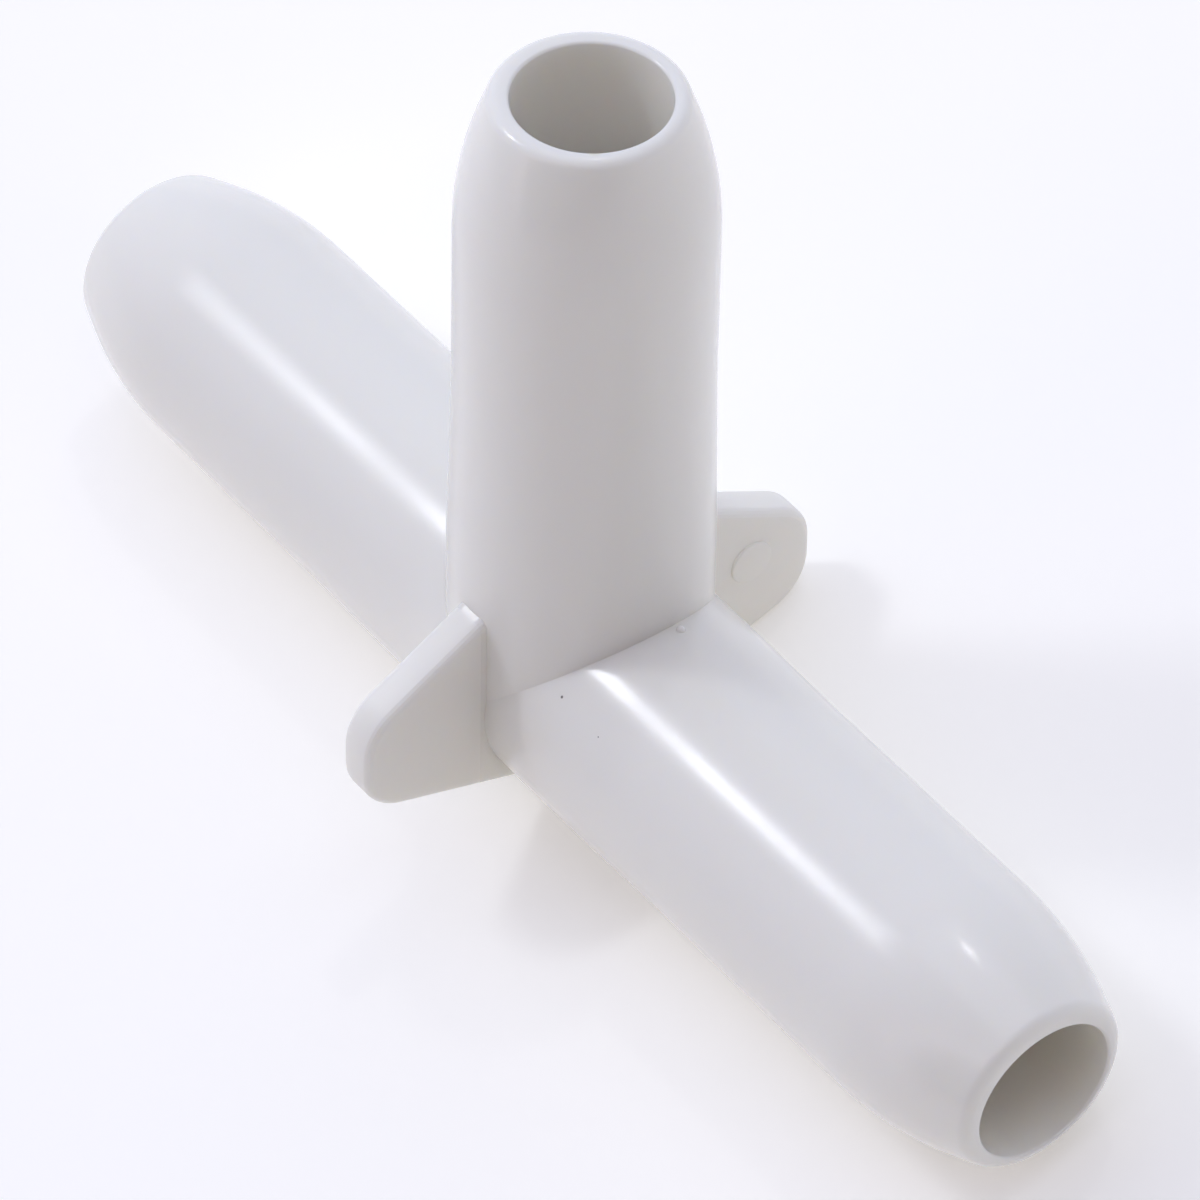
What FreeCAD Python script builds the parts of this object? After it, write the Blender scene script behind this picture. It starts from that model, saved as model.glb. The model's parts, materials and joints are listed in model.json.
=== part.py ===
import FreeCAD, Part
import Sketcher
import math
import os

# Hose tee with three smooth bullet-nosed spigots and two finger wings, moulded in one piece.
# It is drawn upright about the point where the axes cross: the run lies along X, the wings
# stick out along Y, and the branch leaves the run's middle along Z.
# Then it is rolled onto its +Y wing, which is how a loose tee comes to rest on a table.

doc = FreeCAD.newDocument("HoseTee")

# Driving dimensions, in millimetres and degrees
sheet = doc.addObject("Spreadsheet::Sheet", "Dimensions")
DIMENSIONS = (
    ("tube_radius", 7.0, "outer radius of all three arms where they cross"),
    ("run_reach", 38.5, "from the crossing to the tip of a run arm"),
    ("branch_reach", 38.5, "from the crossing to the tip of the branch"),
    ("run_root_length", 8.0, "full-width root of a run arm, from the crossing"),
    ("run_taper_length", 6.0, "where a run arm narrows down to its hose stretch"),
    ("run_draft", 1.0, "taper per side there, degrees"),
    ("branch_root_length", 9.0, "full-width root of the branch, from the crossing"),
    ("branch_taper_length", 11.0, "where the branch narrows down to its hose stretch"),
    ("branch_draft", 1.25, "taper per side there, degrees"),
    ("nose_angle", 19.5, "half angle of the nose cone, degrees"),
    ("shoulder_share", 0.617, "the shoulder arc's part of the fall from tube_radius to the tip"),
    ("tip_bevel", 0.35, "outer edge of the end face, along each side"),
    ("tip_wall", 0.9, "from the bore to where nose cone and end face would meet"),
    ("mouth_radius", 4.1, "bore radius of the straight stretch behind each mouth"),
    ("bore_straight_length", 26.0, "straight stretch of a bore, from its end face"),
    ("run_core_draft", 0.9, "taper per side of a run bore's root, degrees"),
    ("branch_core_draft", 1.5, "taper per side of the branch bore's root, degrees"),
    ("core_overrun", 1.0, "how far a core stands out past its mouth in the mould"),
    ("wing_thickness", 2.3, "wing plate, along the run"),
    ("wing_reach", 14.5, "from the run's axis to a wing's tip"),
    ("wing_tip_height", 2.8, "where a wing's upper edge and tip would meet"),
    ("wing_upper_slope", 28.5, "fall of the upper edge towards the tip, degrees"),
    ("wing_lower_slope", 18.0, "rise of the lower edge towards the tip, degrees"),
    ("wing_corner_radius", 3.1, "corners of a wing's tip"),
    ("wing_edge_rounding", 0.4, "long edges of a wing"),
    ("wing_tuck", 0.1, "how far the lower edge starts inside the tube"),
)
for row, (alias, value, note) in enumerate(DIMENSIONS, start=1):
    sheet.set(f"A{row}", note)
    sheet.set(f"B{row}", str(value))
    sheet.setAlias(f"B{row}", alias)
doc.recompute()

body = doc.addObject("PartDesign::Body", "TeeBody")
body.Label = "tee_body"

# A line's or arc's two ends, and the sketch's own X axis, whose start is the origin
START, END = 1, 2
X_AXIS = -1
FULL_TURN = 360

# Below this, a length or a volume counts as nothing
TINY = 1e-6


def origin_plane(role):
    return next(item for item in body.Origin.OriginFeatures if item.Role == role)


def new_sketch(name, role, turn=0.0):
    """A sketch on one of the body's own planes, turned about the plane's normal."""
    sketch = body.newObject("Sketcher::SketchObject", name)
    sketch.AttachmentSupport = [(origin_plane(role), "")]
    sketch.MapMode = "FlatFace"
    spin = FreeCAD.Rotation(FreeCAD.Vector(0, 0, 1), turn)
    sketch.AttachmentOffset = FreeCAD.Placement(FreeCAD.Vector(0, 0, 0), spin)
    sketch.Visibility = False
    return sketch


def finish_sketch(sketch):
    doc.recompute()
    if sketch.solve() != 0 or not sketch.FullyConstrained:
        raise RuntimeError(f"{sketch.Name} isn't fully constrained")


def point(x, y):
    return FreeCAD.Vector(x, y, 0)


def add_point(sketch, x, y):
    return sketch.addGeometry(Part.Point(point(x, y)), True)


def add_line(sketch, start, end, construction=False):
    return sketch.addGeometry(Part.LineSegment(point(*start), point(*end)), construction)


def add_arc(sketch, centre, radius, first, last):
    """An arc from one direction to another, anticlockwise, in radians."""
    circle = Part.Circle(point(*centre), FreeCAD.Vector(0, 0, 1), radius)
    return sketch.addGeometry(Part.ArcOfCircle(circle, first, last), False)


def rule(sketch, kind, *elements):
    """Adds a constraint that has no size."""
    sketch.addConstraint(Sketcher.Constraint(kind, *elements))


def bind(sketch, name, kind, *elements, now, to):
    """Adds a named constraint whose size is now, and ties it to an expression."""
    index = sketch.addConstraint(Sketcher.Constraint(kind, *elements, now))
    sketch.renameConstraint(index, name)
    sketch.setExpression(f"Constraints.{name}", to)


# Arms: the same bullet outline each time, turned about its own axis
def add_arm(name, turn, kind):
    """A solid run or branch arm from the crossing to its tip, along the sketch's turned X axis."""
    sketch = new_sketch(name + "Outline", "XZ_Plane", turn)
    length = sheet.get(f"{kind}_reach")
    tube = sheet.get("tube_radius")
    root_length = sheet.get(f"{kind}_root_length")
    taper_length = sheet.get(f"{kind}_taper_length")
    fall = math.radians(sheet.get(f"{kind}_draft"))
    hose_start = root_length + taper_length
    hose = tube - taper_length * math.tan(fall)
    slope = math.radians(sheet.get("nose_angle"))
    bevel = sheet.get("tip_bevel")
    tip = sheet.get("mouth_radius") + sheet.get("tip_wall")
    bend = sheet.get("shoulder_share") * (tube - tip) / (1 - math.cos(slope))
    hose_end = length - (hose - tip) / math.tan(slope) - bend * math.tan(slope / 2)
    cone_start = (hose_end + bend * math.sin(slope), hose - bend * (1 - math.cos(slope)))

    axis = add_line(sketch, (0, 0), (length, 0))
    face_edge = (length, tip - bevel)
    cone_edge = (length - bevel * math.cos(slope), tip + bevel * math.sin(slope))
    end_face = add_line(sketch, (length, 0), face_edge)
    rim = add_line(sketch, face_edge, cone_edge)
    cone = add_line(sketch, cone_edge, cone_start)
    bend_centre = (hose_end, hose - bend)
    shoulder = add_arc(sketch, bend_centre, bend, math.pi / 2 - slope, math.pi / 2)
    straight = add_line(sketch, (hose_end, hose), (hose_start, hose))
    taper = add_line(sketch, (hose_start, hose), (root_length, tube))
    root = add_line(sketch, (root_length, tube), (0, tube))
    middle = add_line(sketch, (0, tube), (0, 0))
    tip_corner = add_point(sketch, length, tip)

    rule(sketch, "Coincident", axis, START, X_AXIS, START)
    rule(sketch, "PointOnObject", axis, END, X_AXIS)
    rule(sketch, "Coincident", axis, END, end_face, START)
    rule(sketch, "Vertical", end_face)
    rule(sketch, "Coincident", end_face, END, rim, START)
    rule(sketch, "Coincident", rim, END, cone, START)
    rule(sketch, "Tangent", cone, END, shoulder, START)
    rule(sketch, "Tangent", shoulder, END, straight, START)
    rule(sketch, "Horizontal", straight)
    rule(sketch, "Coincident", straight, END, taper, START)
    rule(sketch, "Coincident", taper, END, root, START)
    rule(sketch, "Horizontal", root)
    rule(sketch, "Coincident", root, END, middle, START)
    rule(sketch, "Vertical", middle)
    rule(sketch, "Coincident", middle, END, axis, START)
    rule(sketch, "PointOnObject", tip_corner, START, end_face)
    rule(sketch, "PointOnObject", tip_corner, START, cone)

    for label, line, size in (("root", root, root_length), ("taper", taper, taper_length)):
        along = (line, END, line, START)
        bind(sketch, label, "DistanceX", *along, now=size, to=f"Dimensions.{kind}_{label}_length")
    bind(sketch, "reach", "DistanceX", axis, START, axis, END, now=length, to=f"Dimensions.{kind}_reach")
    tube_height = (middle, END, middle, START)
    bind(sketch, "tube", "DistanceY", *tube_height, now=tube, to="Dimensions.tube_radius")
    taper_turn = f"(180 - Dimensions.{kind}_draft) * 1 deg"
    bind(sketch, "draft", "Angle", taper, now=math.pi - fall, to=taper_turn)
    nose_fall = "Dimensions.tube_radius - Dimensions.mouth_radius - Dimensions.tip_wall"
    bend_fall = f"Dimensions.shoulder_share * ({nose_fall})"
    bend_size = f"{bend_fall} / (1 - cos(Dimensions.nose_angle * 1 deg))"
    bind(sketch, "bend", "Radius", shoulder, now=bend, to=bend_size)
    cone_turn = "(180 - Dimensions.nose_angle) * 1 deg"
    bind(sketch, "nose", "Angle", cone, now=math.pi - slope, to=cone_turn)
    for side, end in (("face", START), ("cone", END)):
        cut = (tip_corner, START, rim, end)
        bind(sketch, f"{side}_bevel", "Distance", *cut, now=bevel, to="Dimensions.tip_bevel")
    tip_size = "Dimensions.mouth_radius + Dimensions.tip_wall"
    bind(sketch, "tip", "DistanceY", X_AXIS, START, tip_corner, START, now=tip, to=tip_size)
    finish_sketch(sketch)

    arm = body.newObject("PartDesign::Revolution", name)
    arm.Profile = sketch
    arm.ReferenceAxis = (sketch, ["H_Axis"])
    arm.Angle = FULL_TURN
    doc.recompute()


# Bores: a straight stretch behind each mouth, then a taper down to the crossing
def add_bore(name, turn, kind):
    """Cuts one run or branch bore from the crossing out through its mouth."""
    sketch = new_sketch(name + "Outline", "XZ_Plane", turn)
    length = sheet.get(f"{kind}_reach")
    mouth = sheet.get("mouth_radius")
    fall = math.radians(sheet.get(f"{kind}_core_draft"))
    taper_end = length - sheet.get("bore_straight_length")
    root_radius = mouth - taper_end * math.tan(fall)
    outer = length + sheet.get("core_overrun")

    axis = add_line(sketch, (0, 0), (outer, 0))
    outside = add_line(sketch, (outer, 0), (outer, mouth))
    straight = add_line(sketch, (outer, mouth), (taper_end, mouth))
    taper = add_line(sketch, (taper_end, mouth), (0, root_radius))
    root = add_line(sketch, (0, root_radius), (0, 0))

    rule(sketch, "Coincident", axis, START, X_AXIS, START)
    rule(sketch, "PointOnObject", axis, END, X_AXIS)
    rule(sketch, "Coincident", axis, END, outside, START)
    rule(sketch, "Vertical", outside)
    rule(sketch, "Coincident", outside, END, straight, START)
    rule(sketch, "Horizontal", straight)
    rule(sketch, "Coincident", straight, END, taper, START)
    rule(sketch, "Coincident", taper, END, root, START)
    rule(sketch, "Vertical", root)
    rule(sketch, "Coincident", root, END, axis, START)

    bore = (outside, START, outside, END)
    bind(sketch, "bore", "DistanceY", *bore, now=mouth, to="Dimensions.mouth_radius")
    core = f"Dimensions.{kind}_reach + Dimensions.core_overrun"
    bind(sketch, "core", "DistanceX", axis, START, axis, END, now=outer, to=core)
    tapered = (root, END, taper, START)
    tapered_size = f"Dimensions.{kind}_reach - Dimensions.bore_straight_length"
    bind(sketch, "tapered", "DistanceX", *tapered, now=taper_end, to=tapered_size)
    taper_turn = f"(180 + Dimensions.{kind}_core_draft) * 1 deg"
    bind(sketch, "draft", "Angle", taper, now=math.pi + fall, to=taper_turn)
    finish_sketch(sketch)

    before = body.Shape.Volume
    groove = body.newObject("PartDesign::Groove", name)
    groove.Profile = sketch
    groove.ReferenceAxis = (sketch, ["H_Axis"])
    groove.Angle = FULL_TURN
    doc.recompute()
    removed = before - body.Shape.Volume
    if removed < TINY:
        raise RuntimeError(f"{name} cuts nothing")
    print(name, "removes", round(removed, 1), "mm3")


# Wings: one plate across the run, whose lower edges leave the tube as tangents
def wing_corners():
    """How far out both corner arcs' centres are, and the height of the upper and the lower one."""
    upper = math.radians(sheet.get("wing_upper_slope"))
    lower = math.radians(sheet.get("wing_lower_slope"))
    corner = sheet.get("wing_corner_radius")
    foot = sheet.get("tube_radius") - sheet.get("wing_tuck")
    out = sheet.get("wing_reach") - corner
    upper_height = sheet.get("wing_tip_height") - corner * (1 - math.sin(upper)) / math.cos(upper)
    lower_height = (out * math.sin(lower) - foot + corner) / math.cos(lower)
    return out, upper_height, lower_height


def add_wing_side(sketch, side):
    """One wing's outline, for side 1 or -1. Returns its upper edge, its lower edge and its foot."""
    reach = sheet.get("wing_reach")
    tip_height = sheet.get("wing_tip_height")
    upper = math.radians(sheet.get("wing_upper_slope"))
    lower = math.radians(sheet.get("wing_lower_slope"))
    corner = sheet.get("wing_corner_radius")
    foot = sheet.get("tube_radius") - sheet.get("wing_tuck")
    out, upper_height, lower_height = wing_corners()
    top_turn = math.pi / 2 - upper
    low_turn = math.pi / 2 - lower
    foot_point = (side * foot * math.sin(lower), -foot * math.cos(lower))
    top_centre = (side * out, upper_height)
    low_centre = (side * out, lower_height)
    upper_end = (out + corner * math.sin(upper), upper_height + corner * math.cos(upper))
    lower_end = (out + corner * math.sin(lower), lower_height - corner * math.cos(lower))

    apex = (0, tip_height + reach * math.tan(upper))
    upper_edge = add_line(sketch, apex, (side * upper_end[0], upper_end[1]))
    tip = add_line(sketch, (side * reach, upper_height), (side * reach, lower_height))
    lower_edge = add_line(sketch, (side * lower_end[0], lower_end[1]), foot_point)
    spoke = add_line(sketch, (0, 0), foot_point, construction=True)
    tip_corner = add_point(sketch, side * reach, tip_height)
    if side > 0:
        top_arc = add_arc(sketch, top_centre, corner, 0, top_turn)
        low_arc = add_arc(sketch, low_centre, corner, -low_turn, 0)
        enter, leave = END, START
        span = (X_AXIS, START, tip_corner, START)
        upper_now, upper_turn = -upper, "-Dimensions.wing_upper_slope"
        lower_now, lower_turn = math.pi + lower, "180 + Dimensions.wing_lower_slope"
    else:
        top_arc = add_arc(sketch, top_centre, corner, math.pi - top_turn, math.pi)
        low_arc = add_arc(sketch, low_centre, corner, math.pi, math.pi + low_turn)
        enter, leave = START, END
        span = (tip_corner, START, X_AXIS, START)
        upper_now, upper_turn = math.pi + upper, "180 + Dimensions.wing_upper_slope"
        lower_now, lower_turn = -lower, "-Dimensions.wing_lower_slope"

    rule(sketch, "Tangent", upper_edge, END, top_arc, enter)
    rule(sketch, "Tangent", top_arc, leave, tip, START)
    rule(sketch, "Vertical", tip)
    rule(sketch, "Tangent", tip, END, low_arc, enter)
    rule(sketch, "Tangent", low_arc, leave, lower_edge, START)
    rule(sketch, "Coincident", spoke, START, X_AXIS, START)
    rule(sketch, "Coincident", spoke, END, lower_edge, END)
    rule(sketch, "Perpendicular", spoke, lower_edge)
    rule(sketch, "PointOnObject", tip_corner, START, upper_edge)
    rule(sketch, "PointOnObject", tip_corner, START, tip)

    label = "right" if side > 0 else "left"
    bind(sketch, f"{label}_reach", "DistanceX", *span, now=reach, to="Dimensions.wing_reach")
    height = (X_AXIS, START, tip_corner, START)
    tip_size = "Dimensions.wing_tip_height"
    bind(sketch, f"{label}_height", "DistanceY", *height, now=tip_height, to=tip_size)
    for arc_name, arc in (("top", top_arc), ("low", low_arc)):
        corner_size = "Dimensions.wing_corner_radius"
        bind(sketch, f"{label}_{arc_name}_corner", "Radius", arc, now=corner, to=corner_size)
    foot_size = "Dimensions.tube_radius - Dimensions.wing_tuck"
    bind(sketch, f"{label}_foot", "Distance", spoke, now=foot, to=foot_size)
    upper_size = f"({upper_turn}) * 1 deg"
    bind(sketch, f"{label}_upper", "Angle", upper_edge, now=upper_now, to=upper_size)
    lower_size = f"({lower_turn}) * 1 deg"
    bind(sketch, f"{label}_lower", "Angle", lower_edge, now=lower_now, to=lower_size)
    return upper_edge, lower_edge, foot_point


def add_wings():
    sketch = new_sketch("WingOutline", "YZ_Plane")
    right_upper, right_lower, right_foot = add_wing_side(sketch, 1)
    left_upper, left_lower, left_foot = add_wing_side(sketch, -1)
    belly = add_line(sketch, right_foot, left_foot)
    rule(sketch, "Coincident", right_upper, START, left_upper, START)
    rule(sketch, "Coincident", belly, START, right_lower, END)
    rule(sketch, "Coincident", belly, END, left_lower, END)
    finish_sketch(sketch)

    plate = body.newObject("PartDesign::Pad", "WingPlate")
    plate.Profile = sketch
    plate.SideType = "Symmetric"
    plate.setExpression("Length", "Dimensions.wing_thickness")
    doc.recompute()

    # The long edges of both faces are rounded, apart from the belly inside the tube
    half = sheet.get("wing_thickness") / 2
    edges = []
    for number, edge in enumerate(plate.Shape.Edges, start=1):
        box = edge.BoundBox
        on_a_face = box.XLength < TINY and abs(abs(box.XMin) - half) < TINY
        crosses_middle = box.YMin < -TINY and box.YMax > TINY
        if on_a_face and not crosses_middle:
            edges.append(f"Edge{number}")
    rounding = body.newObject("PartDesign::Fillet", "WingEdges")
    rounding.Base = (plate, edges)
    rounding.setExpression("Radius", "Dimensions.wing_edge_rounding")
    doc.recompute()


def rest_lean():
    """How far the tee rolls about the run until its +Y wing touches the table, in degrees."""
    out, _, height = wing_corners()
    fall = sheet.get("tube_radius") - sheet.get("wing_corner_radius")
    return math.degrees(math.asin(fall / math.hypot(out, height)) + math.atan2(height, out))


def lay_down():
    """Rolls the tee onto its wing, with the origin at the bottom centre of its box."""
    roll = FreeCAD.Rotation(FreeCAD.Vector(1, 0, 0), -rest_lean())
    rolled = body.Shape.copy()
    rolled.Placement = FreeCAD.Placement(FreeCAD.Vector(0, 0, 0), roll)
    box = rolled.optimalBoundingBox(False, False)
    drop = FreeCAD.Vector(-box.Center.x, -box.Center.y, -box.ZMin)
    body.Placement = FreeCAD.Placement(drop, roll)
    doc.recompute()


add_wings()
add_arm("RightArm", 0, "run")
add_arm("LeftArm", 180, "run")
add_arm("Branch", 90, "branch")
add_bore("RightBore", 0, "run")
add_bore("LeftBore", 180, "run")
add_bore("BranchBore", 90, "branch")
lay_down()

for item in doc.Objects:
    if {"Invalid", "Error"} & set(item.State):
        raise RuntimeError(f"{item.Name} failed: {item.State}")
shape = body.Shape
if shape.isNull() or not shape.isValid() or len(shape.Solids) != 1:
    raise RuntimeError(f"{body.Label} isn't one valid solid")

box = shape.optimalBoundingBox(False, False)
print(body.Label, "volume", round(shape.Volume, 1), "mm3")
print("box", round(box.XLength, 2), "x", round(box.YLength, 2), "x", round(box.ZLength, 2), "mm")
print("lean", round(rest_lean(), 2), "degrees")

os.makedirs("parts", exist_ok=True)
shape.exportStep(f"parts/{body.Label}.step")
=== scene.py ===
# %% [markdown]
# # A hose tee, moulded in one piece
# The real object is one injection moulding in white plastic: a straight run with a bullet nose at
# each end, a branch on its middle, and two small finger wings beside the crossing.
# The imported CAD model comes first. It fixes where every surface lies, and the cells after it only
# add what the light shows: rounded rims, a little moulding life, the plastic's own finish.

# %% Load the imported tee
import json
import math

import bmesh
import bpy
from mathutils import Matrix, Vector


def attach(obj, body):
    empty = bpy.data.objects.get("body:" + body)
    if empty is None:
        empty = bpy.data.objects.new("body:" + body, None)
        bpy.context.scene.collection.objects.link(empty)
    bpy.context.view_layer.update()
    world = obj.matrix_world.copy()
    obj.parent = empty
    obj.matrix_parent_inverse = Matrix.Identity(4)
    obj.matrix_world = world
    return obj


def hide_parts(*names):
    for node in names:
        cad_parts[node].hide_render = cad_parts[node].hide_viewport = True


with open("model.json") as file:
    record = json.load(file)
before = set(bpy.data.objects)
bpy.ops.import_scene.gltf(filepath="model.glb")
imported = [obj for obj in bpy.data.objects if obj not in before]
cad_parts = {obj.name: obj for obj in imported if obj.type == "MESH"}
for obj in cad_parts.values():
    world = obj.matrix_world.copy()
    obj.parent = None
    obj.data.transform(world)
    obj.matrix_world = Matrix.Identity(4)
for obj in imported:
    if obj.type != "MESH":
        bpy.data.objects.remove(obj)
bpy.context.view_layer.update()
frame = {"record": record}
mounts = {mount["name"]: mount for mount in frame["record"]["mounts"]}

# %% [markdown]
# The tee is drawn upright about the point where its axes cross, in millimetres, because that is how
# a mould maker's drawing has it. On the table it lies rolled onto one wing. One matrix does that
# roll: its columns are the run's, the wings' and the branch's directions as the CAD has them.

# %% From the drawing to the table
MM = 0.001
run_line = Vector((1, 0, 0))
branch_line = Vector(mounts["branch_spigot"]["axis"]).normalized()
wing_line = branch_line.cross(run_line)
crossing = Vector(mounts["right_spigot"]["pos_m"])
crossing.x = 0
rolled = Matrix((run_line, wing_line, branch_line)).transposed()
laid_down = Matrix.Translation(crossing) @ rolled.to_4x4() @ Matrix.Scale(MM, 4)
tube_radius = crossing.z / MM
print("crossing", [round(v / MM, 3) for v in crossing], "mm, tube radius", round(tube_radius, 3))

# %% [markdown]
# Every arm is a turned shape, so its half outline says it all. Corners that look sharp on a drawing
# are never quite sharp on a moulding. A small arc takes each one's place, so that it catches a thin
# line of light, as the real rims do.

# %% Round a drawing's corner
def rounded(before, corner, after, radius, steps):
    """Points of the arc that eases the corner between two straight lines."""
    corner = Vector(corner)
    back = (Vector(before) - corner).normalized()
    onward = (Vector(after) - corner).normalized()
    half = back.angle(onward) / 2
    centre = corner + (back + onward).normalized() * (radius / math.sin(half))
    start = corner + back * (radius / math.tan(half)) - centre
    end = corner + onward * (radius / math.tan(half)) - centre
    turn = start.angle_signed(end)
    points = []
    for step in range(steps + 1):
        angle = -turn * step / steps
        points.append(centre + Matrix.Rotation(angle, 2) @ start)
    return points


example = rounded((0, 0), (1, 0), (1, 1), radius=0.5, steps=2)
print("a square corner, rounded", [point.to_tuple(2) for point in example])

# %% [markdown]
# Long straight stretches get extra rings too. Without them every facet would be a sliver as long as
# the arm, and slivers shade unevenly and give a Boolean cut ragged edges.

# %% Points along a straight line
RING_STEP = 1.8


def along(start, end, step=RING_STEP):
    """Points on a straight line, without its start."""
    count = max(1, round((Vector(end) - Vector(start)).length / step))
    return [Vector(start).lerp(Vector(end), i / count) for i in range(1, count + 1)]


print("rings on a stretch of 10 mm", len(along((0, 0), (10, 0))))

# %% [markdown]
# The arms' own measures could be typed in again, but then they might drift away from the CAD. They
# are read from its mounts instead: the hose stretch's radius and ends, and how far each arm
# reaches.

# %% Measures from the mounts
def arm_distance(mount):
    """How far from the crossing a mount's middle lies along its arm, in mm."""
    return (Vector(mount["pos_m"]) - crossing).length / MM


def mouth_reach(mouth):
    """How far from the crossing an arm ends, in mm."""
    return arm_distance(mouth) + mouth["dims"]["length_mm"] / 2


print("the run reaches", round(mouth_reach(mounts["right_mouth"]), 2), "mm from the crossing")

# %% [markdown]
# From the crossing out, an arm is a full-width root, a short taper, the straight stretch that the
# hose sits on, a soft shoulder and a nose cone. Only the taper, the nose's slope and the wall at
# the tip are repeated here. The lips are rounder than the CAD's bevels, because the real ones look
# fully rounded.

# %% Half outline of an arm
NOSE_SLOPE = math.radians(19.5)
TIP_WALL = 0.9
SHOULDER_STEPS, RIM_STEPS = 16, 10
LIP_STEP = 1.5


def arm_outline(spigot, mouth, taper_length, root_radius, rim_rounding):
    """(distance from the crossing, radius) from the root to the end face's middle."""
    hose = spigot["dims"]["r_mm"]
    hose_start = arm_distance(spigot) - spigot["dims"]["length_mm"] / 2
    hose_end = arm_distance(spigot) + spigot["dims"]["length_mm"] / 2
    reach = mouth_reach(mouth)
    tip = mouth["dims"]["r_mm"] + TIP_WALL
    nose = (hose - tip) / math.tan(NOSE_SLOPE)
    bend = (reach - hose_end - nose) / math.tan(NOSE_SLOPE / 2)

    points = along((0, root_radius), (hose_start - taper_length, root_radius))
    points += along(points[-1], (hose_start, hose))
    points += along(points[-1], (hose_end, hose))
    for step in range(1, SHOULDER_STEPS + 1):
        angle = NOSE_SLOPE * step / SHOULDER_STEPS
        drop = bend * (1 - math.cos(angle))
        points.append(Vector((hose_end + bend * math.sin(angle), hose - drop)))
    rim = rounded(points[-1], (reach, tip), (reach, 0), rim_rounding, RIM_STEPS)
    points += along(points[-1], rim[0]) + rim[1:]
    points += along(points[-1], (reach, 0), LIP_STEP)
    return points


print("nose slope", round(math.degrees(NOSE_SLOPE), 1), "degrees")

# %% [markdown]
# Run and branch have the same radius, so they meet in a mitred crease. Two surfaces that touch
# exactly are hard for a Boolean to tell apart, so the branch is thinner by a hundredth of a
# millimetre, which nobody can see.

# %% Outlines of run and branch
RUN_TAPER, BRANCH_TAPER = 6.0, 11.0
RUN_RIM, BRANCH_RIM = 0.85, 0.7
MITRE_GAP = 0.01

run_outline = arm_outline(
    mounts["right_spigot"], mounts["right_mouth"], RUN_TAPER, tube_radius, RUN_RIM
)
branch_root = tube_radius - MITRE_GAP
branch_outline = arm_outline(
    mounts["branch_spigot"], mounts["branch_mouth"], BRANCH_TAPER, branch_root, BRANCH_RIM
)
print("arm outlines", len(run_outline), len(branch_outline), "points")

# %% [markdown]
# Blender's Screw modifier would turn an outline too, but a few lines of bmesh give a clean closed
# solid with a known number of facets round it, which the Boolean modifier needs.

# %% Turn an outline into a solid
FACETS_ROUND = 384
ON_THE_AXIS = 1e-6


def as_object(name, mesh):
    """Puts a finished bmesh into the scene."""
    data = bpy.data.meshes.new(name)
    mesh.to_mesh(data)
    mesh.free()
    piece = bpy.data.objects.new(name, data)
    bpy.context.scene.collection.objects.link(piece)
    return piece


def turned(name, outline, facets=FACETS_ROUND):
    """A closed solid of revolution about X. The outline starts and ends on the axis."""
    mesh = bmesh.new()
    rings = []
    for distance, radius in outline:
        if radius < ON_THE_AXIS:
            rings.append([mesh.verts.new((distance, 0, 0))])
            continue
        ring = []
        for facet in range(facets):
            angle = math.tau * facet / facets
            place = (distance, radius * math.cos(angle), radius * math.sin(angle))
            ring.append(mesh.verts.new(place))
        rings.append(ring)
    for ring, following in zip(rings, rings[1:]):
        for facet in range(facets):
            corners = [ring[facet % len(ring)], ring[(facet + 1) % len(ring)]]
            corners += [following[(facet + 1) % len(following)], following[facet % len(following)]]
            mesh.faces.new(list(dict.fromkeys(corners)))
    bmesh.ops.recalc_face_normals(mesh, faces=mesh.faces)
    return as_object(name, mesh)


print("facets round an arm", FACETS_ROUND)

# %% [markdown]
# The run is one solid from nose to nose, so its half outline is mirrored first and turned once. The
# branch is turned lying down like the run, and then stood up.

# %% Run and branch
POINT_UP = Matrix.Rotation(-math.pi / 2, 4, "Y")


def mirrored(outline):
    """The same half outline on the other side of the crossing."""
    return [Vector((-distance, radius)) for distance, radius in reversed(outline)]


run = turned("run", mirrored(run_outline) + run_outline)
branch = turned("branch", [Vector((0, 0)), Vector((0, branch_root))] + branch_outline)
branch.data.transform(POINT_UP)
print("run and branch", len(run.data.polygons), len(branch.data.polygons), "faces")

# %% [markdown]
# Both wings are one flat plate across the run. Its upper edges fall away from the branch, its lower
# edges leave the tube's belly almost as tangents, and thumb-friendly arcs round the tips. One side
# of the outline is worked out, and its mirror image makes the other.

# %% Outline of the wings
WING_REACH = 14.49
WING_TIP_HEIGHT = 2.8
WING_FALL = math.radians(28.5)
WING_RISE = math.radians(18.0)
WING_CORNER, WING_CORNER_STEPS = 3.1, 14
WING_TUCK = 0.1


def wing_outline():
    """The plate's outline as (across, up), anticlockwise from the belly's middle."""
    foot = tube_radius - WING_TUCK
    start = Vector((foot * math.sin(WING_RISE), -foot * math.cos(WING_RISE)))
    low_tip_height = WING_REACH * math.tan(WING_RISE) - foot / math.cos(WING_RISE)
    low_tip = Vector((WING_REACH, low_tip_height))
    high_tip = Vector((WING_REACH, WING_TIP_HEIGHT))
    peak = Vector((0, WING_TIP_HEIGHT + WING_REACH * math.tan(WING_FALL)))
    side = [start]
    side += rounded(start, low_tip, high_tip, WING_CORNER, WING_CORNER_STEPS)
    side += rounded(low_tip, high_tip, peak, WING_CORNER, WING_CORNER_STEPS)
    return side + [peak] + [Vector((-across, up)) for across, up in reversed(side)]


print("wing outline", len(wing_outline()), "points")

# %% [markdown]
# The outline is extruded into a plate, and its long edges are softened by Blender's bevel, with
# enough segments that the thin bright line along each edge stays smooth.

# %% Wing plate
WING_THICKNESS = 2.3
WING_EDGE_ROUNDING, WING_EDGE_STEPS = 0.55, 5
SAME_PLANE = 1e-6


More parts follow.
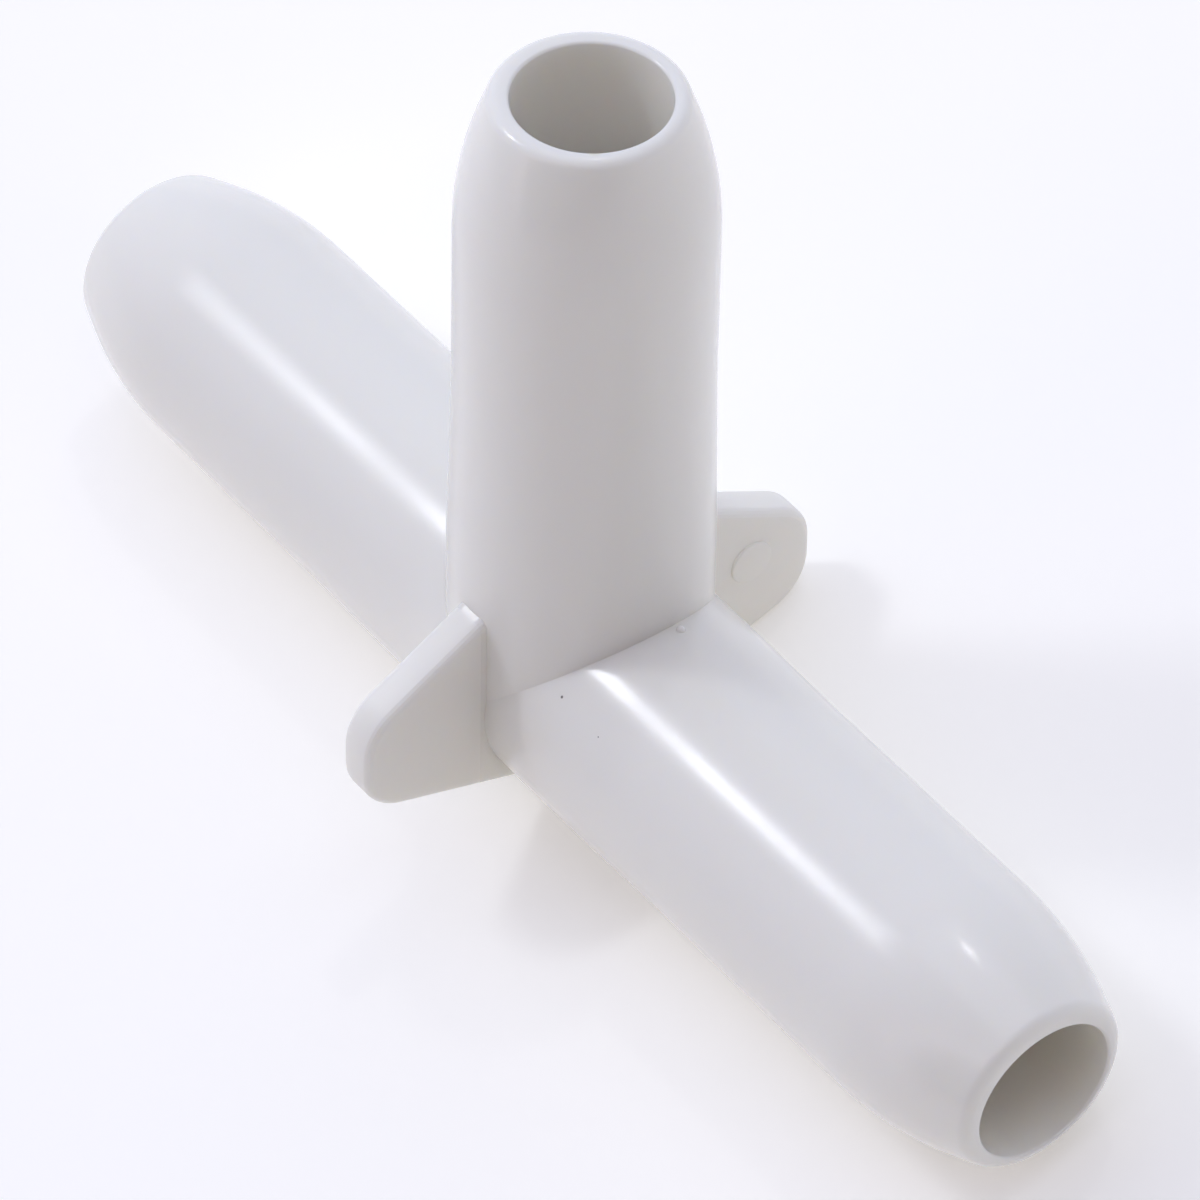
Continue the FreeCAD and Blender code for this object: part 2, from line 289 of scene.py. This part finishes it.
def plate(name, outline, thickness, rounding, steps):
    """A flat plate in the YZ plane with rounded long edges."""
    mesh = bmesh.new()
    face = mesh.faces.new([mesh.verts.new((-thickness / 2, across, up)) for across, up in outline])
    extruded = bmesh.ops.extrude_face_region(mesh, geom=[face])["geom"]
    front = [item for item in extruded if isinstance(item, bmesh.types.BMVert)]
    bmesh.ops.translate(mesh, vec=(thickness, 0, 0), verts=front)
    long_edges = [e for e in mesh.edges if abs(e.verts[0].co.x - e.verts[1].co.x) < SAME_PLANE]
    bmesh.ops.bevel(
        mesh, geom=long_edges, offset=rounding, segments=steps, profile=0.5, affect="EDGES"
    )
    bmesh.ops.recalc_face_normals(mesh, faces=mesh.faces)
    return as_object(name, mesh)


wings = plate("wings", wing_outline(), WING_THICKNESS, WING_EDGE_ROUNDING, WING_EDGE_STEPS)
print("wings", len(wings.data.polygons), "faces")

# %% [markdown]
# Two small things tell of the mould. A low round pip stands on one wing's face, as an ejector pin
# leaves it, and a tiny nib of plastic sits in the crease where the mould's parts meet. The pip is
# turned like the arms, and the nib is a stretched ball, mostly sunk into the run.

# %% Pip and nib
PIP_RADIUS, PIP_HEIGHT, PIP_ROUNDING = 1.3, 0.14, 0.12
PIP_STEPS, PIP_FACETS = 5, 64
PIP_PLACE = Vector((0, 10.4, 1.4))
NIB_PLACE = Vector((7.44, 0.80, 6.88))
NIB_RADII = (0.26, 0.26, 0.34)
NIB_SUBDIVISIONS = 3

pip_top = WING_THICKNESS / 2 + PIP_HEIGHT
pip_side = [Vector((0, PIP_RADIUS))]
pip_side += rounded(
    (0, PIP_RADIUS), (pip_top, PIP_RADIUS), (pip_top, 0), PIP_ROUNDING, PIP_STEPS
)
pip = turned("pip", [Vector((0, 0))] + pip_side + [Vector((pip_top, 0))], PIP_FACETS)
pip.data.transform(Matrix.Translation(PIP_PLACE))

nib_mesh = bmesh.new()
bmesh.ops.create_icosphere(nib_mesh, subdivisions=NIB_SUBDIVISIONS, radius=1.0)
bmesh.ops.scale(nib_mesh, vec=NIB_RADII, verts=nib_mesh.verts)
bmesh.ops.translate(nib_mesh, vec=NIB_PLACE, verts=nib_mesh.verts)
nib = as_object("nib", nib_mesh)
print("pip and nib", len(pip.data.polygons), len(nib.data.polygons), "faces")

# %% [markdown]
# The bores are cut by the same kind of turned solid, which plays the mould's core pins. Near each
# mouth the pin flares a little, so the cut leaves a soft inner edge. Towards the crossing it gets
# thinner, because a pin with that draft pulls out of the plastic more easily.

# %% Outline of a core pin
MOUTH_ROUNDING, MOUTH_STEPS = 0.18, 6
CORE_OVERRUN = 1.0
CORE_RING_STEP = 3.0


def core_outline(mouth, draft):
    """(distance from the crossing, radius) of a core pin, from the crossing out past the mouth."""
    radius = mouth["dims"]["r_mm"]
    reach = mouth_reach(mouth)
    taper_end = reach - mouth["dims"]["length_mm"]
    root = radius - taper_end * math.tan(draft)
    points = [Vector((0, root)), Vector((taper_end, radius))]
    points += along(points[-1], (reach - MOUTH_ROUNDING, radius), CORE_RING_STEP)
    for step in range(1, MOUTH_STEPS + 1):
        angle = math.pi / 2 * step / MOUTH_STEPS
        out = reach - MOUTH_ROUNDING + MOUTH_ROUNDING * math.sin(angle)
        points.append(Vector((out, radius + MOUTH_ROUNDING * (1 - math.cos(angle)))))
    flare = radius + MOUTH_ROUNDING
    return points + [Vector((reach + CORE_OVERRUN, flare)), Vector((reach + CORE_OVERRUN, 0))]


print("core pins", mounts["right_mouth"]["dims"]["r_mm"], "mm in radius behind the mouths")

# %% [markdown]
# On the real tee the mouths sit a little off the middle of their noses, as core pins bend under the
# plastic's pressure. Each pin is moved by as much before it cuts.

# %% Core pins
CORE_FACETS = 192
RUN_DRAFT, BRANCH_DRAFT = math.radians(0.9), math.radians(1.5)
RUN_CORE_SHIFT = Vector((0, 0.12, -0.25))
BRANCH_CORE_SHIFT = Vector((0.18, 0.03, 0))

run_core_outline = core_outline(mounts["right_mouth"], RUN_DRAFT)
run_core = turned("run_core", mirrored(run_core_outline[1:]) + run_core_outline, CORE_FACETS)
run_core.data.transform(Matrix.Translation(RUN_CORE_SHIFT))
branch_core_outline = [Vector((0, 0))] + core_outline(mounts["branch_mouth"], BRANCH_DRAFT)
branch_core = turned("branch_core", branch_core_outline, CORE_FACETS)
branch_core.data.transform(Matrix.Translation(BRANCH_CORE_SHIFT) @ POINT_UP)
print("core pins", len(run_core.data.polygons), len(branch_core.data.polygons), "faces")

# %% [markdown]
# In the mould all of this is one cavity. The Boolean modifier joins the pieces in the same way, and
# its exact solver keeps the crease between run and branch as crisp as on the real tee.

# %% Join and cut
joined = (branch, wings, pip, nib)
cut_out = (run_core, branch_core)

tee = run
tee.name = "moulded_tee"
for operation, pieces in (("UNION", joined), ("DIFFERENCE", cut_out)):
    for piece in pieces:
        step = tee.modifiers.new(piece.name, "BOOLEAN")
        step.operation = operation
        step.solver = "EXACT"
        step.object = piece
evaluated = tee.evaluated_get(bpy.context.evaluated_depsgraph_get())
finished = bpy.data.meshes.new_from_object(evaluated)
tee.modifiers.clear()
tee.data = finished
for piece in joined + cut_out:
    bpy.data.objects.remove(piece)
print("moulded tee", len(tee.data.vertices), "points", len(tee.data.polygons), "faces")

# %% [markdown]
# The upright tee is laid down on the table by its mesh, so that the object itself stays at the
# origin. Its faces are shaded smooth, and an edge stays sharp only where they meet at a real
# corner.

# %% Lay down and hand to the frame
CORNER_ANGLE = math.radians(14)

tee.data.transform(laid_down)
tee.data.polygons.foreach_set("use_smooth", [True] * len(tee.data.polygons))
tee.data.set_sharp_from_angle(angle=CORNER_ANGLE)
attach(tee, "root")
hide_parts("tee_body")
print("laid down, lowest point", round(min(v.co.z for v in tee.data.vertices) / MM, 3), "mm")

# %% [markdown]
# The plastic is white, and light goes a millimetre or two into it before it comes back out. Without
# that it would look like painted plaster. Subsurface scattering softens the shadows and warms them
# a little, since red light travels furthest inside.

# %% White moulded plastic
PLASTIC_IOR = 1.49
SCATTER_SHARE = 0.42
SCATTER_DEPTH = 0.0016
SCATTER_BY_COLOR = (1.0, 0.88, 0.66)

plastic = bpy.data.materials.new("white_moulded_plastic")
plastic.use_nodes = True
nodes = plastic.node_tree.nodes
links = plastic.node_tree.links
shader = nodes["Principled BSDF"]
shader.inputs["IOR"].default_value = PLASTIC_IOR
shader.inputs["Subsurface Weight"].default_value = SCATTER_SHARE
shader.inputs["Subsurface Radius"].default_value = SCATTER_BY_COLOR
shader.inputs["Subsurface Scale"].default_value = SCATTER_DEPTH
tee.data.materials.clear()
tee.data.materials.append(plastic)
print("plastic", plastic.name)

# %% [markdown]
# One flat colour would look like paint. Slow noise moves this one a little between two whites, the
# way pigment is never stirred in quite evenly. The noise is measured in the tee's own space, so it
# stays with the plastic from every side. Blender's Mix node has sockets for each kind of value: its
# colours are inputs 6 and 7, and the mixed colour is output 2.

# %% Mottle
MOTTLE_SCALE, MOTTLE_DETAIL = 140, 3
DEEPER_WHITE, PALER_WHITE = (0.860, 0.840, 0.775, 1), (0.880, 0.862, 0.800, 1)
MIX_FACTOR, MIX_FIRST, MIX_SECOND, MIX_RESULT = 0, 6, 7, 2

tee_space = nodes.new("ShaderNodeTexCoord").outputs["Object"]


def noise(scale, detail):
    """A noise texture in the tee's own space."""
    texture = nodes.new("ShaderNodeTexNoise")
    texture.inputs["Scale"].default_value = scale
    texture.inputs["Detail"].default_value = detail
    links.new(tee_space, texture.inputs["Vector"])
    return texture.outputs["Fac"]


mottle = nodes.new("ShaderNodeMix")
mottle.data_type = "RGBA"
mottle.inputs[MIX_FIRST].default_value = DEEPER_WHITE
mottle.inputs[MIX_SECOND].default_value = PALER_WHITE
links.new(noise(MOTTLE_SCALE, MOTTLE_DETAIL), mottle.inputs[MIX_FACTOR])
plastic_color = mottle.outputs[MIX_RESULT]
print("mottle from", DEEPER_WHITE[:3], "to", PALER_WHITE[:3])

# %% [markdown]
# A tiny blemish needs a place, not a texture of its own. A small ball in space that tints the
# plastic it touches will do: how far a point lies from the ball's middle says how much of the tint
# it gets.

# %% A tinted ball
SPECK_CORE_SHARE = 0.45


def ranged(value, start, end, low=0.0, high=1.0):
    """Takes a value from one range to another, and holds it inside that."""
    mapped = nodes.new("ShaderNodeMapRange")
    mapped.inputs["From Min"].default_value = start
    mapped.inputs["From Max"].default_value = end
    mapped.inputs["To Min"].default_value = low
    mapped.inputs["To Max"].default_value = high
    links.new(value, mapped.inputs["Value"])
    return mapped.outputs["Result"]


def speck(color_so_far, upright_place, radius, color):
    """Tints the plastic inside a small ball, and returns the colour with that added."""
    away = nodes.new("ShaderNodeVectorMath")
    away.operation = "DISTANCE"
    away.inputs[1].default_value = laid_down @ Vector(upright_place)
    links.new(tee_space, away.inputs[0])
    inside = ranged(away.outputs["Value"], radius * MM, radius * MM * SPECK_CORE_SHARE)
    tinted = nodes.new("ShaderNodeMix")
    tinted.data_type = "RGBA"
    tinted.inputs[MIX_SECOND].default_value = color
    links.new(inside, tinted.inputs[MIX_FACTOR])
    links.new(color_so_far, tinted.inputs[MIX_FIRST])
    return tinted.outputs[MIX_RESULT]


print("a ball has its full tint inside", SPECK_CORE_SHARE, "of its radius")

# %% [markdown]
# A few dark specks are moulded into the real tee, each a burnt grain up to a fifth of a millimetre
# wide, and one pale yellow stain sits on the branch's lip. Their places are those of the upright
# drawing.

# %% Specks in the plastic
BURNT = (0.16, 0.14, 0.13, 1)
STAIN = (0.74, 0.70, 0.52, 1)
SPECKS = (
    ((5.7, -5.46, 4.38), 0.10, BURNT),
    ((8.96, -5.6, 4.21), 0.06, BURNT),
    ((16.27, -2.21, 6.64), 0.09, BURNT),
    ((3.4, -2.2, 38.4), 0.55, STAIN),
)
for upright_place, radius, color in SPECKS:
    plastic_color = speck(plastic_color, upright_place, radius, color)
links.new(plastic_color, shader.inputs["Base Color"])
print("specks and stains", len(SPECKS))

# %% [markdown]
# The arms come out of a polished mould, so they are glossy, with a fine grain that keeps the gloss
# from looking like glass. The same noise makes a small bump later.

# %% Gloss of the arms
GRAIN_SCALE, GRAIN_DETAIL = 5200, 2
ARM_ROUGHNESS = (0.15, 0.20)

grain = noise(GRAIN_SCALE, GRAIN_DETAIL)
gloss = ranged(grain, 0.0, 1.0, *ARM_ROUGHNESS)
print("roughness of the arms", ARM_ROUGHNESS)

# %% [markdown]
# The wings come out of a part of the mould that wasn't polished, so they are more matt. They are
# one moulding with the arms, so they share its material. How far a point lies from the plane
# through run and branch tells wing from arm, and adds the wings' extra roughness.

# %% Matt wings
WING_EXTRA_ROUGHNESS = 0.24
MATT_START, MATT_FULL = 0.1, 0.5

across = nodes.new("ShaderNodeVectorMath")
across.operation = "DOT_PRODUCT"
across.inputs[1].default_value = wing_line
links.new(tee_space, across.inputs[0])
outward = nodes.new("ShaderNodeMath")
outward.operation = "SUBTRACT"
outward.inputs[1].default_value = crossing.dot(wing_line)
links.new(across.outputs["Value"], outward.inputs[0])
outward_size = nodes.new("ShaderNodeMath")
outward_size.operation = "ABSOLUTE"
links.new(outward.outputs[0], outward_size.inputs[0])
matt_start = (tube_radius + MATT_START) * MM
matt_full = (tube_radius + MATT_FULL) * MM
matt = ranged(outward_size.outputs[0], matt_start, matt_full, 0.0, WING_EXTRA_ROUGHNESS)
roughness = nodes.new("ShaderNodeMath")
roughness.operation = "ADD"
links.new(gloss, roughness.inputs[0])
links.new(matt, roughness.inputs[1])
links.new(roughness.outputs[0], shader.inputs["Roughness"])
print("matt from", round(matt_start / MM, 2), "mm outward")

# %% [markdown]
# Even a polished moulding isn't quite even. A slow wave makes the long highlight waver a little,
# and the grain breaks its edges. Both stay within a few hundredths of a millimetre, too small to be
# worth modelling, so they are bumps, one on top of the other.

# %% Waves and grain
BUMP_DEPTH = 0.00004
WAVE_SCALE, WAVE_DETAIL = 800, 1
WAVE_STRENGTH, GRAIN_STRENGTH = 0.10, 0.05


def bumped(height, strength):
    """A bump node that follows a height."""
    bump = nodes.new("ShaderNodeBump")
    bump.inputs["Strength"].default_value = strength
    bump.inputs["Distance"].default_value = BUMP_DEPTH
    links.new(height, bump.inputs["Height"])
    return bump


waves = bumped(noise(WAVE_SCALE, WAVE_DETAIL), WAVE_STRENGTH)
grit = bumped(grain, GRAIN_STRENGTH)
links.new(waves.outputs["Normal"], grit.inputs["Normal"])
links.new(grit.outputs["Normal"], shader.inputs["Normal"])
print("bumps within", round(BUMP_DEPTH / MM, 3), "mm")

# %% [markdown]
# The studio is a white table in a tent of pale cloth, as small products are photographed. The table
# glows a little, as if lit from below, so that its white stays clean round the tee.

# %% Table
TABLE_HALF_SIDE = 3.0
TABLE_WHITE, TABLE_GLOW = (0.95, 0.93, 0.89, 1), (1, 0.99, 0.94, 1)
TABLE_ROUGHNESS, TABLE_GLOW_STRENGTH = 0.9, 0.17

table_mesh = bmesh.new()
table_corners = []
for side_x, side_y in ((-1, -1), (1, -1), (1, 1), (-1, 1)):
    table_place = (side_x * TABLE_HALF_SIDE, side_y * TABLE_HALF_SIDE, 0)
    table_corners.append(table_mesh.verts.new(table_place))
table_mesh.faces.new(table_corners)
table = as_object("table_top", table_mesh)
table_white = bpy.data.materials.new("white_table")
table_white.use_nodes = True
surface = table_white.node_tree.nodes["Principled BSDF"]
surface.inputs["Base Color"].default_value = TABLE_WHITE
surface.inputs["Roughness"].default_value = TABLE_ROUGHNESS
surface.inputs["Emission Color"].default_value = TABLE_GLOW
surface.inputs["Emission Strength"].default_value = TABLE_GLOW_STRENGTH
table.data.materials.append(table_white)
print("table", 2 * TABLE_HALF_SIDE, "m square")

# %% [markdown]
# The tent is the world's background. On the camera's side it is open, and that opening is what
# shades the sides that face the camera. How near a direction points to the opening is worked out
# first. Directions from high up count as further from it, so the opening is wider than it is tall.

# %% Opening of the tent
OPENING = Vector((0.72, -0.62, 0.30)).normalized()
OPENING_FLATNESS = 0.35

world = bpy.data.worlds.new("studio")
bpy.context.scene.world = world
world.use_nodes = True
tent = world.node_tree
glow = tent.nodes["Background"]
direction = tent.nodes.new("ShaderNodeTexCoord").outputs["Generated"]


def nearness(aim):
    """How near the looked-at direction is to another: 1 when they are the same."""
    product = tent.nodes.new("ShaderNodeVectorMath")
    product.operation = "DOT_PRODUCT"
    product.inputs[1].default_value = aim
    tent.links.new(direction, product.inputs[0])
    return product.outputs["Value"]


height = tent.nodes.new("ShaderNodeSeparateXYZ")
tent.links.new(direction, height.inputs[0])
squared = tent.nodes.new("ShaderNodeMath")
squared.operation = "MULTIPLY"
tent.links.new(height.outputs["Z"], squared.inputs[0])
tent.links.new(height.outputs["Z"], squared.inputs[1])
flattened = tent.nodes.new("ShaderNodeMath")
flattened.operation = "MULTIPLY_ADD"
flattened.inputs[1].default_value = -OPENING_FLATNESS
tent.links.new(squared.outputs[0], flattened.inputs[0])
tent.links.new(nearness(OPENING), flattened.inputs[2])
print("opening towards", [round(v, 2) for v in OPENING])

# %% [markdown]
# The cloth glows evenly and a little cool. Nearer the opening it has a brighter hem, and inside the
# hem the tent is dark. A colour ramp takes the nearness to those colours.

# %% Cloth
CLOTH = (
    (0.08, (0.62, 0.66, 0.83)),
    (0.22, (0.62, 0.66, 0.83)),
    (0.38, (0.66, 0.54, 0.66)),
    (0.50, (1.46, 1.33, 1.42)),
    (0.62, (0.04, 0.03, 0.03)),
)
cloth = tent.nodes.new("ShaderNodeValToRGB")
stops = cloth.color_ramp.elements
while len(stops) < len(CLOTH):
    stops.new(1.0)
for stop, (position, color) in zip(stops, CLOTH):
    stop.position = position
    stop.color = (*color, 1)
tent.links.new(flattened.outputs[0], cloth.inputs["Fac"])
tent.links.new(cloth.outputs["Color"], glow.inputs["Color"])
print("cloth", len(stops), "stops")

# %% [markdown]
# To the right of the camera the tent is dimmer than elsewhere, which gives the round arms a side
# that falls off. The change is a smooth step, so that no edge of it shows in the gloss.

# %% Dimmer side
DIM_SIDE = Vector((0.72, 0.62, 0.30)).normalized()
DIM_START, DIM_FULL = 0.40, 0.95
DIM_STRENGTH = 0.6

dimmed = tent.nodes.new("ShaderNodeMapRange")
dimmed.interpolation_type = "SMOOTHSTEP"
dimmed.inputs["From Min"].default_value = DIM_START
dimmed.inputs["From Max"].default_value = DIM_FULL
dimmed.inputs["To Min"].default_value = 1.0
dimmed.inputs["To Max"].default_value = DIM_STRENGTH
tent.links.new(nearness(DIM_SIDE), dimmed.inputs["Value"])
tent.links.new(dimmed.outputs["Result"], glow.inputs["Strength"])
print("dimmer towards", [round(v, 2) for v in DIM_SIDE])

# %% [markdown]
# An upright strip lamp draws the streak down both run arms, and a scrim round it softens the
# streak's sides and the branch's shadow. A broad lamp hangs over the tee to lift all the tops, and
# a tiny one makes the spot on the near shoulder. A highlight lies where the surface tilts halfway
# between lamp and camera, so its place in the photograph gives the lamp's direction.

# %% Lamps
LAMP_DISTANCE = 0.6
KEY_SIDE = (-0.550, -0.447, 0.705)
LAMPS = (
    ("key_lamp", KEY_SIDE, 0.032, 0.10, 0.36, (0.96, 1, 1.07)),
    ("scrim_lamp", KEY_SIDE, 0.22, 0.22, 0.25, (0.96, 1, 1.07)),
    ("top_lamp", (0.05, 0, 1), 0.5, 0.5, 0.56, (0.96, 1, 1.08)),
    ("spot_lamp", (-0.137, 0.170, 0.976), 0.02, 0.02, 0.10, (1, 1, 1)),
)


def lamp(name, upright_direction, width, height, power, color):
    """An area lamp that looks at the crossing from a direction of the upright drawing."""
    data = bpy.data.lights.new(name, "AREA")
    data.shape = "RECTANGLE"
    data.size = width
    data.size_y = height
    data.energy = power
    data.color = color
    light = bpy.data.objects.new(name, data)
    bpy.context.scene.collection.objects.link(light)
    aim = (rolled @ Vector(upright_direction)).normalized()
    side_way = (run_line - aim * run_line.dot(aim)).normalized()
    basis = Matrix((side_way, aim.cross(side_way), aim)).transposed().to_4x4()
    light.matrix_world = Matrix.Translation(crossing + aim * LAMP_DISTANCE) @ basis


for settings in LAMPS:
    lamp(*settings)
print("lamps", [settings[0] for settings in LAMPS])

# %% [markdown]
# The camera stands where the photograph was taken from. Its direction, distance, lens and roll were
# fitted to the outline: the rims' ellipses, the arms' edges and the wings. The picture keeps
# Blender's Standard view transform, because white plastic on white should stay white.

# %% Camera
AZIMUTH, ELEVATION, ROLL = math.radians(52.17), math.radians(44.44), math.radians(1.16)
DISTANCE = 464.14
PAN, TILT = 1.088, 2.623
FOCAL_LENGTH, SENSOR_WIDTH = 266.46, 36

back = Vector((
    math.sin(AZIMUTH) * math.cos(ELEVATION),
    -math.cos(AZIMUTH) * math.cos(ELEVATION),
    math.sin(ELEVATION),
))
right = Vector((math.cos(AZIMUTH), math.sin(AZIMUTH), 0))
up = back.cross(right)
image_right = right * math.cos(ROLL) + up * math.sin(ROLL)
image_up = up * math.cos(ROLL) - right * math.sin(ROLL)
stand = back * DISTANCE + image_right * PAN + image_up * TILT

camera_data = bpy.data.cameras.new("photo_camera")
camera_data.sensor_fit = "HORIZONTAL"
camera_data.sensor_width = SENSOR_WIDTH
camera_data.lens = FOCAL_LENGTH
camera = bpy.data.objects.new("photo_camera", camera_data)
bpy.context.scene.collection.objects.link(camera)
facing = rolled @ Matrix((image_right, image_up, back)).transposed()
camera.matrix_world = Matrix.Translation(laid_down @ stand) @ facing.to_4x4()
bpy.context.scene.camera = camera
bpy.context.scene.view_settings.view_transform = "Standard"
print("camera", [round(v, 4) for v in camera.location])
